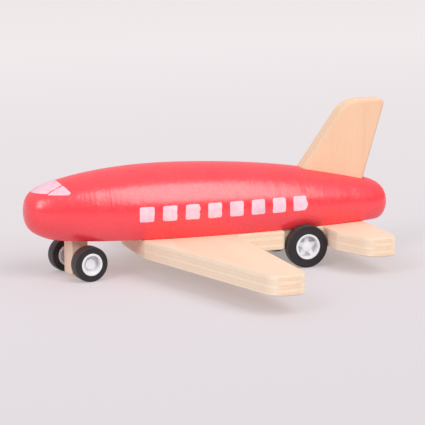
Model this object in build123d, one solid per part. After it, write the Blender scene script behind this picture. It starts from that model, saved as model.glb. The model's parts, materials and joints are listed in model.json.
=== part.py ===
from build123d import *
import os
from math import cos, pi, radians, sin

# Wooden toy airliner with a wind-up (pull-back) rear axle.  Millimetres.
# +X points to the nose, +Y to the port wing tip, +Z up.  The origin is on the floor,
# under the middle of the aircraft, and both pairs of wheels stand on Z = 0.

# --- Driving dimensions -------------------------------------------------------------

# fuselage: a turned body with its axis raised a little towards the nose
fuselage_length = 177.5
fuselage_radius = 20.85
widest_to_nose = 73.56
axis_height = 28.34
axis_tilt = 1.92
belly_height = 17.8              # the flat that the plywood is fixed to

# shape of the turned profile: distances of the curve's handles
nose_bluntness = 14.55
nose_shoulder = (9.67, 8.38)     # back from the nose tip, out from the axis
nose_fullness = 55.5
tail_bluntness = 18.48
tail_shoulder = (27.47, 6.94)    # forward of the tail tip, out from the axis
tail_fullness = 83.38

# plywood
ply_thickness = 8.6
ply_arris = 0.7                  # rounding of the sanded edges
wing_front_x = 38.1
wing_back_x = -5.6
wing_root_half = 17.3            # half width of the blunt front edge
wing_half_span = 104.2
wing_sweep = 0.317               # mm back for each mm outboard
wing_tip_front_radius = 8.5
wing_tip_back_radius = 7.0
strip_half_width = 20.0          # the strip under the body, behind the wing
waist_front_x = -29.6            # where the strip narrows to pass between the rear wheels
waist_half_width = 14.5
tail_front_x = -50.7
tail_root_half = 30.0
tail_half_span = 49.8
tail_sweep = 0.42
tail_back_x = -74.2
tail_back_sweep = 0.02           # mm forward for each mm outboard
tail_tip_front_radius = 9.0
tail_tip_back_radius = 6.5
strip_corner_radius = 2.0
waist_corner_radius = 1.5
root_corner_radius = 3.0

# tail fin, in side view
fin_front_x = -44.6
fin_bend_height = 44.0           # where the leading edge comes out of the fuselage
fin_top_height = 75.3
fin_top_front_x = -67.1
fin_top_back_x = -87.1
fin_back_slope = 0.295           # mm forward for each mm down the trailing edge
fin_foot_height = 31.0           # bottom of the slot in the fuselage
fin_front_radius = 14.0
fin_back_radius = 2.6
fin_arris = 1.5

# wheels: distances across the aircraft are measured from the middle of the axle
axle_radius = 1.0
running_clearance = 0.05
rim_lip_thickness = 0.3
axle_seat_end_wall = 1.0         # plastic left between the axle's end and the boss face
axle_end_gap = 0.2
rear_axle_x = -40.3
rear_wheel_radius = 10.0
rear_tyre_shoulder = 0.6
rear_rim_radius = 5.9
rear_barrel_radius = 5.5
rear_barrel_wall = 0.95
axle_slot_gap = 0.6
rear_wheel_inner = 16.0
rear_wheel_outer = 21.4
rear_web = (16.8, 18.1)
rear_boss_radius = 2.6
rear_boss_inner = 14.8
rear_boss_outer = 19.7
spoke_count = 5
spoke_face = 19.4
spoke_root_half = 1.55
spoke_tip_half = 0.85
nose_wheel_radius = 8.0
nose_tyre_shoulder = 0.7
nose_rim_radius = 5.05
nose_barrel_radius = 4.7
nose_barrel_wall = 0.7
nose_wheel_inner = 9.0
nose_wheel_outer = 15.3
nose_web = (11.2, 12.4)
nose_hub_radius = 2.5            # the button on the outer face
nose_boss_radius = 2.0
nose_boss_inner = 4.5
nose_boss_outer = 13.45

# nose leg: it turns on a round tenon, and stands a little to port
nose_steer_x = 65.0
nose_steer_angle = 9.94
nose_axle_trail = 0.7            # the axle hole lies a little behind the turning axis
leg_width = 8.2
leg_foot_height = 1.5
leg_arris = 0.6
leg_top_gap = 0.2
tenon_radius = 3.0
tenon_top = 26.5

# pull-back motor
case_wall = 1.0
case_back_x = -48.0
case_front_x = -16.0
case_bottom = 8.7
case_top = 27.4
case_half_width = 8.8
axle_boss_radius = 3.9
fit_gap = 0.15                   # round the case, in the plywood and the fuselage
ear_length = 6.0                 # the ears lie in shallow recesses, flush with the plywood
ear_half_width = 4.0
ear_thickness = 1.5
gear_module = 0.5
tooth_root = (1.2, 0.27)         # modules below the pitch circle, half tooth as a share of pitch
tooth_pitch = (0.0, 0.20)
tooth_tip = (-0.8, 0.09)
pinion_teeth = 8
idler_teeth = 24
barrel_teeth = 30
idler_bearing_angle = 62.0       # from the axle to the idler
barrel_bearing_angle = 5.0       # from the idler to the spring barrel
idler_pin_radius = 0.8
arbor_radius = 1.5
seat_gap = 0.01                  # a fixed pin in its seat
pinion_extra = 0.2               # the axle's pinion is a little wider than its partner
barrel_layer = (1.6, 3.2)        # where the barrel's teeth lie, across the motor
drive_layer = (4.0, 5.6)         # where the idler drives the axle
cup_start = -6.6
cup_radius = 7.4
cup_wall = 0.5
spring_layer = (-5.9, 0.9)
spring_thickness = 0.2
spring_first_radius = 2.3
spring_step = 0.3                # growth of the radius in each half turn
spring_half_turns = 14

# screws
plate_screw_x = (29.0, 2.0, -63.0)
plate_screw_radius = 1.5
plate_screw_head = 3.0
plate_screw_head_depth = 1.8
plate_screw_top = 25.0
motor_screw_radius = 0.9
motor_screw_head = 1.8
motor_screw_head_depth = 0.9
motor_screw_top = 15.5
screw_hole_extra = 0.5           # depth of a hole beyond the screw's end
cross_width = 0.6
cross_depth = 0.5
cross_share = 0.4                # reach of the cross as a share of the head's radius

# --- Derived positions --------------------------------------------------------------

overlap = 0.1                    # pieces that are fused run into each other by this much
beyond = 1.0                     # cutters run past the surface they cut by this much
far = 60.0                       # larger than anything that a cutter has to clear
ply_bottom = belly_height - ply_thickness
nose_x = fuselage_length / 2
tail_x = -nose_x
widest_x = nose_x - widest_to_nose
axle_rear = (rear_axle_x, rear_wheel_radius)
idler_distance = gear_module * (pinion_teeth + idler_teeth) / 2
barrel_distance = gear_module * (pinion_teeth + barrel_teeth) / 2


def step_from(start, distance, angle):
    """Point in side view (x, z) at a distance and an angle from another one."""
    return (start[0] + distance * cos(radians(angle)), start[1] + distance * sin(radians(angle)))


idler_centre = step_from(axle_rear, idler_distance, idler_bearing_angle)
barrel_centre = step_from(idler_centre, barrel_distance, barrel_bearing_angle)

parts = {}


# --- Helpers ------------------------------------------------------------------------

def block(x0, x1, y0, y1, z0, z1):
    """A box between two corners."""
    centre = ((x0 + x1) / 2, (y0 + y1) / 2, (z0 + z1) / 2)
    return Pos(*centre) * Box(x1 - x0, y1 - y0, z1 - z0)


def rod(centre, radius, y0, y1):
    """A cylinder along Y, centred at (x, z) in side view."""
    place = Pos(centre[0], (y0 + y1) / 2, centre[1]) * Rot(90, 0, 0)
    return place * Cylinder(radius, y1 - y0)


def post(x, y, radius, z0, z1):
    """A cylinder along Z."""
    return Pos(x, y, (z0 + z1) / 2) * Cylinder(radius, z1 - z0)


def turned(points):
    """A solid turned about the Y axis from (radius, y) points."""
    outline = Polyline(*[(radius, y, 0) for radius, y in points], close=True)
    return revolve(make_face(outline), axis=Axis.Y)


def side_plate(points, radii, y0, y1):
    """A plate with rounded corners, drawn in side view as (x, z) and thick along Y."""
    outline = FilletPolyline(*[(x, 0, z) for x, z in points], radius=radii, close=True)
    plate = extrude(make_face(outline), amount=y1 - y0, dir=(0, 1, 0))
    return Pos(0, y0, 0) * plate


# --- Airframe -----------------------------------------------------------------------

def make_fin():
    fin_foot_back_x = fin_top_back_x + fin_back_slope * (fin_top_height - fin_foot_height)
    corners = [
        (fin_front_x, fin_foot_height),
        (fin_front_x, fin_bend_height),
        (fin_top_front_x, fin_top_height),
        (fin_top_back_x, fin_top_height),
        (fin_foot_back_x, fin_foot_height),
    ]
    radii = [0, 0, fin_front_radius, fin_back_radius, 0]
    fin = side_plate(corners, radii, -ply_thickness / 2, ply_thickness / 2)
    faces = fin.faces().sort_by(Axis.Y)
    edges = faces[0].edges() + faces[-1].edges()
    sanded = [edge for edge in edges if edge.center().Z > fin_foot_height + beyond]
    return fillet(sanded, fin_arris)


def plate_corners():
    """Port half of the plywood's outline, from the nose back: (x, y, corner radius)."""
    wing_tip_x = wing_front_x - wing_sweep * (wing_half_span - wing_root_half)
    tail_tip_x = tail_front_x - tail_sweep * (tail_half_span - tail_root_half)
    tail_tip_back_x = tail_back_x + tail_back_sweep * tail_half_span
    return [
        (wing_front_x, wing_root_half, root_corner_radius),
        (wing_tip_x, wing_half_span, wing_tip_front_radius),
        (wing_back_x, wing_half_span, wing_tip_back_radius),
        (wing_back_x, strip_half_width, strip_corner_radius),
        (waist_front_x, strip_half_width, strip_corner_radius),
        (waist_front_x, waist_half_width, waist_corner_radius),
        (tail_front_x, waist_half_width, waist_corner_radius),
        (tail_front_x, tail_root_half, root_corner_radius),
        (tail_tip_x, tail_half_span, tail_tip_front_radius),
        (tail_tip_back_x, tail_half_span, tail_tip_back_radius),
    ]


def make_plate():
    """Wing, strip and tailplane sawn from one piece of plywood, with room for the motor."""
    port = plate_corners()
    starboard = [(x, -y, radius) for x, y, radius in reversed(port)]
    corners = port + [(tail_back_x, 0, 0)] + starboard
    points = [(x, y) for x, y, radius in corners]
    radii = [radius for x, y, radius in corners]
    outline = FilletPolyline(*points, radius=radii, close=True)
    plate = extrude(make_face(outline), amount=ply_thickness)
    faces = plate.faces().sort_by(Axis.Z)
    plate = Pos(0, 0, ply_bottom) * fillet(faces[0].edges() + faces[-1].edges(), ply_arris)
    plate -= motor_space(0, belly_height + beyond)
    plate -= axle_slot()
    for x0, x1 in ear_spans():
        plate -= ear_block(x0, x1, fit_gap, 0)
    for x in plate_screw_x:
        plate -= screw_hole(x)
    for x in ear_screw_x():
        plate -= post(x, 0, motor_screw_radius + seat_gap, 0, motor_screw_top + screw_hole_extra)
    return plate


def axle_slot():
    """Slot across the plywood, open below, that the rear axle lies in."""
    half = axle_radius + axle_slot_gap
    reach = waist_half_width + beyond
    return block(rear_axle_x - half, rear_axle_x + half, -reach, reach, 0, rear_wheel_radius + half)


def motor_space(z0, z1):
    """Room for the motor, a little larger than its case."""
    half_width = case_half_width + fit_gap
    return block(case_back_x - fit_gap, case_front_x + fit_gap, -half_width, half_width, z0, z1)


def make_fuselage(fin):
    nose_half = Bezier(
        (nose_x, 0, 0),
        (nose_x, nose_bluntness, 0),
        (nose_x - nose_shoulder[0], nose_shoulder[1], 0),
        (widest_x + nose_fullness, fuselage_radius, 0),
        (widest_x, fuselage_radius, 0),
    )
    tail_half = Bezier(
        (widest_x, fuselage_radius, 0),
        (widest_x - tail_fullness, fuselage_radius, 0),
        (tail_x + tail_shoulder[0], tail_shoulder[1], 0),
        (tail_x, tail_bluntness, 0),
        (tail_x, 0, 0),
    )
    axis_line = Line((tail_x, 0, 0), (nose_x, 0, 0))
    body = revolve(make_face([nose_half, tail_half, axis_line]), axis=Axis.X)
    body = Pos(0, 0, axis_height) * Rot(0, -axis_tilt, 0) * body
    body -= block(tail_x - beyond, nose_x + beyond, -far, far, -far, belly_height)
    body -= fin
    body -= motor_space(belly_height - beyond, case_top + fit_gap)
    socket_radius = tenon_radius + running_clearance
    body -= post(nose_steer_x, 0, socket_radius, belly_height - beyond, tenon_top + screw_hole_extra)
    for x in plate_screw_x:
        body -= screw_hole(x)
    return body


# --- Fasteners ----------------------------------------------------------------------

def screw_hole(x):
    """Countersunk hole for a plate screw, through the plywood and into the body."""
    shank = post(x, 0, plate_screw_radius + seat_gap, 0, plate_screw_top + screw_hole_extra)
    return shank + screw_cone(x, plate_screw_head, plate_screw_radius, plate_screw_head_depth, seat_gap)


def screw_cone(x, head, shank, depth, gap):
    """A countersunk head, flush with the plywood's underside."""
    return Pos(x, 0, ply_bottom + depth / 2) * Cone(head + gap, shank + gap, depth)


def cross_slot(x, reach):
    """Cross recess in a screw head that is flush with the plywood and looks down."""
    half = cross_width / 2
    top = ply_bottom + cross_depth
    one_way = block(x - reach, x + reach, -half, half, ply_bottom, top)
    other_way = block(x - half, x + half, -reach, reach, ply_bottom, top)
    return one_way + other_way


def make_screw(x, head, shank, depth, top):
    """A countersunk screw with a cross recess."""
    cone = screw_cone(x, head, shank, depth, 0)
    return cone + post(x, 0, shank, ply_bottom + depth / 2, top) - cross_slot(x, cross_share * head)


def make_plate_screws():
    return Compound([
        make_screw(x, plate_screw_head, plate_screw_radius, plate_screw_head_depth, plate_screw_top)
        for x in plate_screw_x
    ])


def make_motor_screws():
    return Compound([
        make_screw(x, motor_screw_head, motor_screw_radius, motor_screw_head_depth, motor_screw_top)
        for x in ear_screw_x()
    ])


# --- Wheels: drawn with the axle along Y through the origin ----------------------------

def make_tyre(outer, barrel, inner_y, outer_y, shoulder):
    """A rubber ring with rounded shoulders, seated between the rim's lips."""
    tyre = turned([
        (barrel, inner_y + rim_lip_thickness),
        (outer, inner_y + rim_lip_thickness),
        (outer, outer_y - rim_lip_thickness),
        (barrel, outer_y - rim_lip_thickness),
    ])
    tread_radius = outer - seat_gap
    treads = [edge for edge in tyre.edges().filter_by(GeomType.CIRCLE) if edge.radius > tread_radius]
    return fillet(treads, shoulder)


def make_rim(lip, barrel, wall, inner_y, outer_y, web):
    """The ring of a moulded rim: two lips and a barrel, closed by a web."""
    drum = turned([
        (barrel - wall, inner_y),
        (lip, inner_y),
        (lip, inner_y + rim_lip_thickness),
        (barrel, inner_y + rim_lip_thickness),
        (barrel, outer_y - rim_lip_thickness),
        (lip, outer_y - rim_lip_thickness),
        (lip, outer_y),
        (barrel - wall, outer_y),
    ])
    return drum + rod((0, 0), barrel - wall + overlap, web[0], web[1])


def make_spokes():
    """Five tapered arms that make the star in the rear rims."""
    reach = rear_barrel_radius - rear_barrel_wall + overlap
    corners = [
        (0, 0, -spoke_root_half),
        (reach, 0, -spoke_tip_half),
        (reach, 0, spoke_tip_half),
        (0, 0, spoke_root_half),
    ]
    root = rear_web[1] - overlap
    arm = extrude(make_face(Polyline(*corners, close=True)), amount=spoke_face - root, dir=(0, 1, 0))
    arm = Rot(0, 90, 0) * Pos(0, root, 0) * arm
    spokes = arm
    for i in range(1, spoke_count):
        spokes += Rot(0, 360 * i / spoke_count, 0) * arm
    return spokes


def axle_seat(boss_inner, boss_outer):
    """The blind hole that the axle is pressed into."""
    return rod((0, 0), axle_radius, boss_inner - beyond, boss_outer - axle_seat_end_wall)


def axle_half(boss_outer):
    """Half of an axle's length: a little short of the bottom of its seat."""
    return boss_outer - axle_seat_end_wall - axle_end_gap


def make_rear_rim():
    rim = make_rim(rear_rim_radius, rear_barrel_radius, rear_barrel_wall,
                   rear_wheel_inner, rear_wheel_outer, rear_web)
    rim += make_spokes()
    rim += rod((0, 0), rear_boss_radius, rear_boss_inner, rear_boss_outer)
    return rim - axle_seat(rear_boss_inner, rear_boss_outer)


def make_nose_rim():
    rim = make_rim(nose_rim_radius, nose_barrel_radius, nose_barrel_wall,
                   nose_wheel_inner, nose_wheel_outer, nose_web)
    rim += rod((0, 0), nose_boss_radius, nose_boss_inner, nose_web[1])
    rim += rod((0, 0), nose_hub_radius, nose_web[1] - overlap, nose_boss_outer)
    return rim - axle_seat(nose_boss_inner, nose_boss_outer)


def add_wheel_pair(name, place, rim, tyre):
    """Port wheel as drawn, starboard wheel turned half a turn about Z."""
    for side, turn in (("port", 0), ("starboard", 180)):
        parts[f"{name}_rim_{side}"] = place * Rot(0, 0, turn) * rim
        parts[f"{name}_tyre_{side}"] = place * Rot(0, 0, turn) * tyre


# --- Nose leg -------------------------------------------------------------------------

def make_nose_leg():
    """Drawn square to the fuselage, with its turning axis on Z."""
    half = leg_width / 2
    leg_top = belly_height - leg_top_gap
    leg = block(-half, half, -half, half, leg_foot_height, leg_top)
    leg = fillet(leg.edges().filter_by(Axis.Z) + leg.faces().sort_by(Axis.Z)[0].edges(), leg_arris)
    leg += post(0, 0, tenon_radius, leg_top - beyond, tenon_top)
    axle_hole = (-nose_axle_trail, nose_wheel_radius)
    return leg - rod(axle_hole, axle_radius + running_clearance, -half - beyond, half + beyond)


# --- Pull-back motor ------------------------------------------------------------------

def gear(centre, teeth, y0, y1, turn=0.0):
    """A spur gear along Y; turn is the angle of its first tooth, in degrees."""
    pitch_radius = gear_module * teeth / 2
    tooth_angle = 2 * pi / teeth
    levels = [
        (pitch_radius - depth * gear_module, share)
        for depth, share in (tooth_root, tooth_pitch, tooth_tip)
    ]
    points = []
    for i in range(teeth):
        middle = radians(turn) + i * tooth_angle
        for radius, share in levels:
            points.append((radius, middle - share * tooth_angle))
        for radius, share in reversed(levels):
            points.append((radius, middle + share * tooth_angle))
    outline = Polyline(*[(r * cos(a), 0, r * sin(a)) for r, a in points], close=True)
    wheel = extrude(make_face(outline), amount=y1 - y0, dir=(0, 1, 0))
    return Pos(centre[0], y0, centre[1]) * wheel


def meshing_turn(driver_teeth, driver_turn, teeth, bearing):
    """Turn of a gear so that a gap faces the tooth of its neighbour along the bearing."""
    phase = (bearing - driver_turn) * driver_teeth / 360
    return bearing + 180 - (0.5 - phase) * 360 / teeth


def ear_spans():
    """Where the motor's two ears lie along the aircraft; each one runs into the case."""
    front = (case_front_x, case_front_x + ear_length)
    back = (case_back_x - ear_length, case_back_x)
    return (front, back)


def ear_screw_x():
    return [(x0 + x1) / 2 for x0, x1 in ear_spans()]


def ear_block(x0, x1, gap, run_in):
    """An ear of the motor, grown by the gap all round except upwards."""
    half = ear_half_width + gap
    grow = gap + run_in
    return block(x0 - grow, x1 + grow, -half, half, ply_bottom - gap, ply_bottom + ear_thickness)


def make_case_half(side):
    """Half of the motor's housing; side is 1 for port and -1 for starboard."""
    shell = block(case_back_x, case_front_x, -case_half_width, case_half_width, case_bottom, case_top)
    shell += rod(axle_rear, axle_boss_radius, -case_half_width, case_half_width)
    (front_x0, front_x1), (back_x0, back_x1) = ear_spans()
    shell += ear_block(front_x0 - overlap, front_x1, 0, 0)
    shell += ear_block(back_x0, back_x1 + overlap, 0, 0)
    inner_half = case_half_width - case_wall
    hollow = block(case_back_x + case_wall, case_front_x - case_wall, -inner_half, inner_half,
                   case_bottom + case_wall, case_top - case_wall)
    hollow += rod(axle_rear, axle_boss_radius - case_wall, -inner_half, inner_half)
    shell -= hollow
    shell -= rod(axle_rear, axle_radius + running_clearance, -far, far)
    shell -= rod(idler_centre, idler_pin_radius + seat_gap, -far, far)
    shell -= rod(barrel_centre, arbor_radius + seat_gap, -far, far)
    for x in ear_screw_x():
        shell -= post(x, 0, motor_screw_radius + seat_gap, 0, motor_screw_top)
        shell -= screw_cone(x, motor_screw_head, motor_screw_radius, motor_screw_head_depth, seat_gap)
    return shell & block(-far, 0, min(0, side * far), max(0, side * far), 0, far)


def make_idler(turn):
    """Compound gear: a pinion in the barrel's teeth and a wheel that drives the axle."""
    small = gear(idler_centre, pinion_teeth, barrel_layer[0], drive_layer[0], turn)
    large = gear(idler_centre, idler_teeth, drive_layer[0], drive_layer[1], turn)
    return small + large - rod(idler_centre, idler_pin_radius + running_clearance, -far, far)


def make_spring_barrel(turn):
    wheel = gear(barrel_centre, barrel_teeth, barrel_layer[0], barrel_layer[1], turn)
    cup = rod(barrel_centre, cup_radius, cup_start, barrel_layer[0])
    cup -= rod(barrel_centre, cup_radius - cup_wall, cup_start - beyond, barrel_layer[0])
    return wheel + cup - rod(barrel_centre, arbor_radius + running_clearance, -far, far)


def make_mainspring():
    """Flat spiral of half rings; their centres alternate, so that each one meets the next."""
    half_thickness = spring_thickness / 2
    spring = None
    for k in range(spring_half_turns):
        radius = spring_first_radius + k * spring_step
        upper = k % 2 == 0
        shift = 0 if upper else spring_step
        centre = (barrel_centre[0] + shift, barrel_centre[1])
        ring = rod(centre, radius + half_thickness, *spring_layer)
        ring -= rod(centre, radius - half_thickness, spring_layer[0] - beyond, spring_layer[1] + beyond)
        z0 = barrel_centre[1] if upper else barrel_centre[1] - cup_radius
        x0 = barrel_centre[0] - cup_radius
        x1 = barrel_centre[0] + cup_radius
        half_ring = ring & block(x0, x1, -cup_radius, cup_radius, z0, z0 + cup_radius)
        spring = half_ring if spring is None else spring + half_ring
    return spring


# --- Assembly -------------------------------------------------------------------------

parts["tail_fin"] = make_fin()
parts["wing_tail_plate"] = make_plate()
parts["fuselage"] = make_fuselage(parts["tail_fin"])
parts["plate_screws"] = make_plate_screws()
parts["motor_screws"] = make_motor_screws()

rear_place = Pos(rear_axle_x, 0, rear_wheel_radius)
rear_tyre = make_tyre(rear_wheel_radius, rear_barrel_radius, rear_wheel_inner, rear_wheel_outer,
                      rear_tyre_shoulder)
add_wheel_pair("rear", rear_place, make_rear_rim(), rear_tyre)
rear_axle_half = axle_half(rear_boss_outer)
parts["rear_axle"] = rear_place * rod((0, 0), axle_radius, -rear_axle_half, rear_axle_half)

leg_place = Pos(nose_steer_x, 0, 0) * Rot(0, 0, nose_steer_angle)
parts["nose_leg"] = leg_place * make_nose_leg()
nose_place = leg_place * Pos(-nose_axle_trail, 0, nose_wheel_radius)
nose_tyre = make_tyre(nose_wheel_radius, nose_barrel_radius, nose_wheel_inner, nose_wheel_outer,
                      nose_tyre_shoulder)
add_wheel_pair("nose", nose_place, make_nose_rim(), nose_tyre)
nose_axle_half = axle_half(nose_boss_outer)
parts["nose_axle"] = nose_place * rod((0, 0), axle_radius, -nose_axle_half, nose_axle_half)

for side_name, side_sign in (("port", 1), ("starboard", -1)):
    parts[f"motor_case_{side_name}"] = make_case_half(side_sign)

idler_turn = meshing_turn(pinion_teeth, 0.0, idler_teeth, idler_bearing_angle)
barrel_turn = meshing_turn(pinion_teeth, idler_turn, barrel_teeth, barrel_bearing_angle)
axle_pinion = gear(axle_rear, pinion_teeth, drive_layer[0] - pinion_extra, drive_layer[1] + pinion_extra)
parts["axle_pinion"] = axle_pinion - rod(axle_rear, axle_radius, -far, far)
parts["idler_gear"] = make_idler(idler_turn)
parts["idler_pin"] = rod(idler_centre, idler_pin_radius, -case_half_width, case_half_width)
parts["spring_barrel"] = make_spring_barrel(barrel_turn)
parts["spring_arbor"] = rod(barrel_centre, arbor_radius, -case_half_width, case_half_width)
parts["mainspring"] = make_mainspring()

os.makedirs("parts", exist_ok=True)
for node, shape in parts.items():
    export_step(shape, f"parts/{node}.step")
    print(node, round(shape.volume, 1))
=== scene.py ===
import bpy
import json
from math import acos, atan2, cos, exp, pi, radians, sin, sqrt
from mathutils import Matrix, Vector


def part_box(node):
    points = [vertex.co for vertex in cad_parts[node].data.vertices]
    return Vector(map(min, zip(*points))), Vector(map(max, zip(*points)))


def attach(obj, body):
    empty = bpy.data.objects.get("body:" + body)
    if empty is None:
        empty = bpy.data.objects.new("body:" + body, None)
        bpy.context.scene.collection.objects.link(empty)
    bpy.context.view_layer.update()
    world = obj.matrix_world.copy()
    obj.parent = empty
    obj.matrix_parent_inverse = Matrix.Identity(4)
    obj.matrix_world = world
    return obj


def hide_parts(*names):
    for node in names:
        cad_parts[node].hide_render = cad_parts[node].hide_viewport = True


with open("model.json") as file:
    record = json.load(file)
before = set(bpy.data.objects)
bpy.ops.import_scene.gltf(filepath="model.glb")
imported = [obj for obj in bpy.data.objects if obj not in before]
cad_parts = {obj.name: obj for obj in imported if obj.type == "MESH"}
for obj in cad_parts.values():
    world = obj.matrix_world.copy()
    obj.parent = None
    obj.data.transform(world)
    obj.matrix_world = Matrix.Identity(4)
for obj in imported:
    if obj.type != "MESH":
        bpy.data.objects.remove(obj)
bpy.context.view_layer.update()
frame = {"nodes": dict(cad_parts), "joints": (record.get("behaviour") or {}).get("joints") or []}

MM = 0.001
joints = {joint["name"]: joint for joint in frame["joints"]}

# --- The turned body, as the CAD model states it (mm, along its own axis) --------------

FUSELAGE_LENGTH = 177.5
FUSELAGE_RADIUS = 20.85
WIDEST_TO_NOSE = 73.56
AXIS_HEIGHT = 28.34
AXIS_TILT = radians(1.92)
BELLY_HEIGHT = 17.8
NOSE_BLUNTNESS = 14.55
NOSE_SHOULDER = (9.67, 8.38)     # back from the nose tip, out from the axis
NOSE_FULLNESS = 55.5
TAIL_BLUNTNESS = 18.48
TAIL_SHOULDER = (27.47, 6.94)    # forward of the tail tip, out from the axis
TAIL_FULLNESS = 83.38
NOSE_X = FUSELAGE_LENGTH / 2
TAIL_X = -NOSE_X
WIDEST_X = NOSE_X - WIDEST_TO_NOSE
NOSE_CURVE = (
    (NOSE_X, 0.0),
    (NOSE_X, NOSE_BLUNTNESS),
    (NOSE_X - NOSE_SHOULDER[0], NOSE_SHOULDER[1]),
    (WIDEST_X + NOSE_FULLNESS, FUSELAGE_RADIUS),
    (WIDEST_X, FUSELAGE_RADIUS),
)
TAIL_CURVE = (
    (WIDEST_X, FUSELAGE_RADIUS),
    (WIDEST_X - TAIL_FULLNESS, FUSELAGE_RADIUS),
    (TAIL_X + TAIL_SHOULDER[0], TAIL_SHOULDER[1]),
    (TAIL_X, TAIL_BLUNTNESS),
    (TAIL_X, 0.0),
)
ARRIS_BLEND = 0.9                # rounding of the belly's edges

# small dents in the paint: along the axis, degrees down from the top, radius, depth
DENTS = ((8.3, 61.0, 1.3, 0.16), (-41.7, 61.0, 1.1, 0.13))


def bezier(points, t):
    """Point of a Bezier curve, by repeated division."""
    while len(points) > 1:
        points = [tuple(a + (b - a) * t for a, b in zip(p, q)) for p, q in zip(points, points[1:])]
    return points[0]


def profile_stations(nose_steps, tail_steps):
    """(x, radius) from the nose tip to the tail tip."""
    nose = [bezier(NOSE_CURVE, i / nose_steps) for i in range(nose_steps)]
    return nose + [bezier(TAIL_CURVE, i / tail_steps) for i in range(tail_steps + 1)]


FINE_STEPS = 600
FINE_PROFILE = profile_stations(FINE_STEPS, FINE_STEPS)


def body_radius(x):
    """Radius of the turned body at a station along its axis."""
    low, high = 0, len(FINE_PROFILE) - 1
    while high - low > 1:
        middle = (low + high) // 2
        if FINE_PROFILE[middle][0] > x:
            low = middle
        else:
            high = middle
    (x0, r0), (x1, r1) = FINE_PROFILE[low], FINE_PROFILE[high]
    return r0 + (r1 - r0) * (x - x0) / (x1 - x0)


BODY_PLACE = Matrix.Translation((0, 0, AXIS_HEIGHT * MM)) @ Matrix.Rotation(-AXIS_TILT, 4, "Y")


def axis_height(x):
    """Height of the body's axis above the floor."""
    return AXIS_HEIGHT + x * sin(AXIS_TILT)


def smooth_min(a, b, blend):
    """The smaller of two numbers, with the corner between them rounded."""
    overlap = max(blend - abs(a - b), 0.0)
    return min(a, b) - overlap * overlap / (4 * blend)


def belly_depth(x):
    """Distance from the axis straight down to the flat belly."""
    return (AXIS_HEIGHT - BELLY_HEIGHT + x * sin(AXIS_TILT)) / cos(AXIS_TILT)


def body_point(x, angle, lift=0.0):
    """Point on the body in metres: angle is measured from the top, towards port."""
    radius = body_radius(x)
    y = (radius + lift) * sin(angle)
    z = (radius + lift) * cos(angle)
    return BODY_PLACE @ (Vector((x, y, z)) * MM)


# --- Mesh helpers ----------------------------------------------------------------------

def new_piece(name, vertices, faces, material, body, replaced=(), sharp_angle=None):
    """A finished mesh object that rides on a body."""
    mesh = bpy.data.meshes.new(name)
    mesh.from_pydata([tuple(v) for v in vertices], [], faces)
    mesh.validate()
    mesh.update()
    piece = bpy.data.objects.new(name, mesh)
    bpy.context.scene.collection.objects.link(piece)
    mesh.materials.append(material)
    if sharp_angle is None:
        mesh.shade_smooth()
    else:
        shade_by_angle(piece, sharp_angle)
    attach(piece, body)
    if replaced:
        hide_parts(*replaced)
    return piece


def shade_by_angle(piece, angle):
    """Smooth shading with the edges sharper than the angle kept."""
    piece.data.shade_smooth()
    piece.data.set_sharp_from_angle(angle=radians(angle))


def ring_faces(rings, count, first=0):
    """Quads that join rings of `count` vertices each, one after the other."""
    faces = []
    for ring in range(rings - 1):
        base = first + ring * count
        for i in range(count):
            j = (i + 1) % count
            faces.append((base + i, base + j, base + count + j, base + count + i))
    return faces


def ring_vertices(section, count):
    """One ring about the Y axis, where section(angle) gives (radius, y) in mm."""
    vertices = []
    for i in range(count):
        angle = 2 * pi * i / count
        radius, y = section(angle)
        vertices.append(Vector((radius * cos(angle), y, radius * sin(angle))) * MM)
    return vertices


def turned_shell(sections, count):
    """A closed shell about the Y axis; the first and the last of its sections are poles."""
    vertices = [Vector((0, sections[0](0)[1], 0)) * MM]
    for section in sections[1:-1]:
        vertices += ring_vertices(section, count)
    vertices.append(Vector((0, sections[-1](0)[1], 0)) * MM)
    last = len(vertices) - 1
    rings = len(sections) - 2
    faces = [(0, 1 + (i + 1) % count, 1 + i) for i in range(count)]
    faces += ring_faces(rings, count, first=1)
    base = 1 + (rings - 1) * count
    faces += [(last, base + i, base + (i + 1) % count) for i in range(count)]
    return vertices, faces


def arc_points(centre, radius, start, end, steps):
    """Points (radius from the axle, y) of an arc, with angles in degrees."""
    points = []
    for i in range(steps + 1):
        angle = radians(start + (end - start) * i / steps)
        points.append((centre[0] + radius * cos(angle), centre[1] + radius * sin(angle)))
    return points


def smoothstep(low, high, value):
    """0 up to low, 1 from high on, and a smooth step between them."""
    t = min(max((value - low) / (high - low), 0.0), 1.0)
    return t * t * (3 - 2 * t)


# --- Material helpers ------------------------------------------------------------------

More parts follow.
